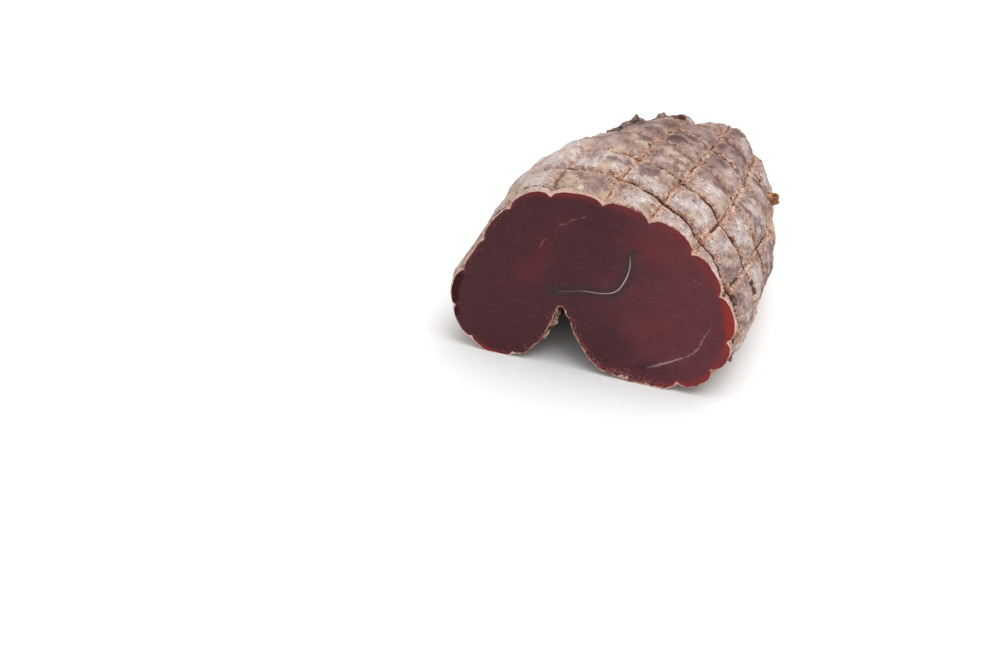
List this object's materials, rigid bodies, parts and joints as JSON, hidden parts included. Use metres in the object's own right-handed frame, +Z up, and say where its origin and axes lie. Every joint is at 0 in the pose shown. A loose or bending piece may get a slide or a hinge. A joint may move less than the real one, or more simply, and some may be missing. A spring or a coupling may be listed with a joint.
{
  "type": "venison cecina",
  "caption": "Tied end of a cured leg muscle that dried in a net, cut square across, with a mouldy pillowed crust and a cleft underneath.",
  "frame": {"origin": "under the middle of the bounding box, on the plane that the piece lies on", "axes": "+X across the cut to the right, +Y from the cut to the tied end, +Z up"},
  "size_m": [0.1258, 0.11, 0.0846],
  "materials": {
    "crust": "dry dusty crust with pale mould",
    "cut_meat": "moist satin cut meat"
  },
  "bodies": {
    "root": {"cecina": "crust"}
  },
  "joints": []
}
